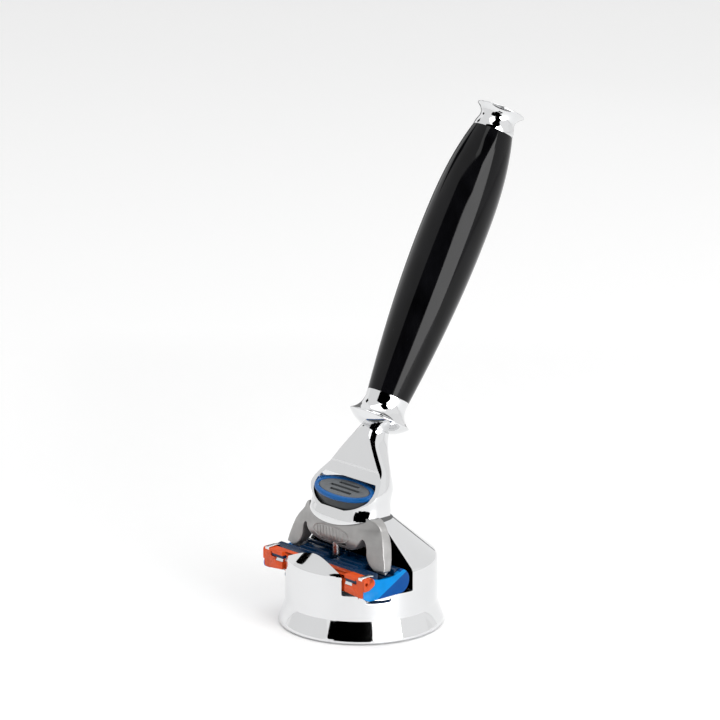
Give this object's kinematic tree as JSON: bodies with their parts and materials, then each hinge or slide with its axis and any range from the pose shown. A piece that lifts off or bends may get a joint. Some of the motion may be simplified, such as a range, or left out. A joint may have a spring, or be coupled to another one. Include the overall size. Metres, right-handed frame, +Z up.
{
  "type": "cartridge razor",
  "caption": "Cartridge razor with a turned barrel handle and release button, standing head down in a slotted conical metal stand.",
  "frame": {"origin": "centre of the stand's flat underside, on the table", "axes": "+Z up, +X along the cartridge's width, -Y towards the release button's side; the handle leans towards +Y"},
  "size_m": [0.0448, 0.0794, 0.1375],
  "materials": {
    "chrome": "polished",
    "grip_resin": "polished",
    "steel": "satin",
    "blade_steel": "satin",
    "foot_rubber": "matte",
    "carrier_plastic": "matte",
    "skirt_plastic": "matte",
    "rim_plastic": "glossy",
    "pad_rubber": "matte",
    "mount_plastic": "satin",
    "housing_plastic": "glossy",
    "guard_rubber": "matte",
    "lube_strip": "matte",
    "clip_aluminium": "satin",
    "trimmer_plastic": "glossy"
  },
  "bodies": {
    "stand": {"stand_body": "chrome", "stand_foot_pad": "foot_rubber"},
    "cartridge_mount": {"interconnect": "mount_plastic"},
    "handle": {"end_cap": "chrome", "grip_sleeve": "grip_resin", "tie_rod": "steel", "front_collar": "chrome", "neck": "chrome", "dock_carrier": "carrier_plastic", "plunger_spring": "steel", "button_spring": "steel"},
    "button": {"button_skirt": "skirt_plastic", "button_rim": "rim_plastic", "button_pad": "pad_rubber", "ejector": "carrier_plastic"},
    "plunger": {"plunger": "steel"},
    "cartridge": {"cartridge_housing": "housing_plastic", "guard_strip": "guard_rubber", "lubricating_strip": "lube_strip", "clip_left": "clip_aluminium", "clip_right": "clip_aluminium", "trimmer_frame": "trimmer_plastic", "trimmer_blade": "blade_steel", "blade_1": "blade_steel", "blade_2": "blade_steel", "blade_3": "blade_steel", "blade_4": "blade_steel", "blade_5": "blade_steel", "blade_support_1": "steel", "blade_support_2": "steel", "blade_support_3": "steel", "blade_support_4": "steel", "blade_support_5": "steel"}
  },
  "joints": [
    {"name": "razor_lift", "type": "slide", "parent": "stand", "child": "cartridge_mount", "axis": [0, 0, 1], "range_m": [0, 0.06]},
    {"name": "handle_undock", "type": "slide", "parent": "cartridge_mount", "child": "handle", "axis": [0, 0, 1], "range_m": [0, 0.012]},
    {"name": "cartridge_pivot", "type": "hinge", "parent": "cartridge_mount", "child": "cartridge", "pos_m": [0, -0.004, 0.0145], "axis": [-1, 0, 0], "range_deg": [0, 12], "stiffness_Nm_per_rad": 0.02},
    {"name": "release_button", "type": "slide", "parent": "handle", "child": "button", "axis": [0, 0, -1], "range_m": [0, 0.0018], "stiffness_N_per_m": 250, "springref_m": -0.001, "deforming": ["button_spring"]},
    {"name": "plunger_slide", "type": "slide", "parent": "handle", "child": "plunger", "axis": [0, 0, 1], "range_m": [0, 0.0016], "stiffness_N_per_m": 60, "springref_m": -0.001, "deforming": ["plunger_spring"]}
  ]
}
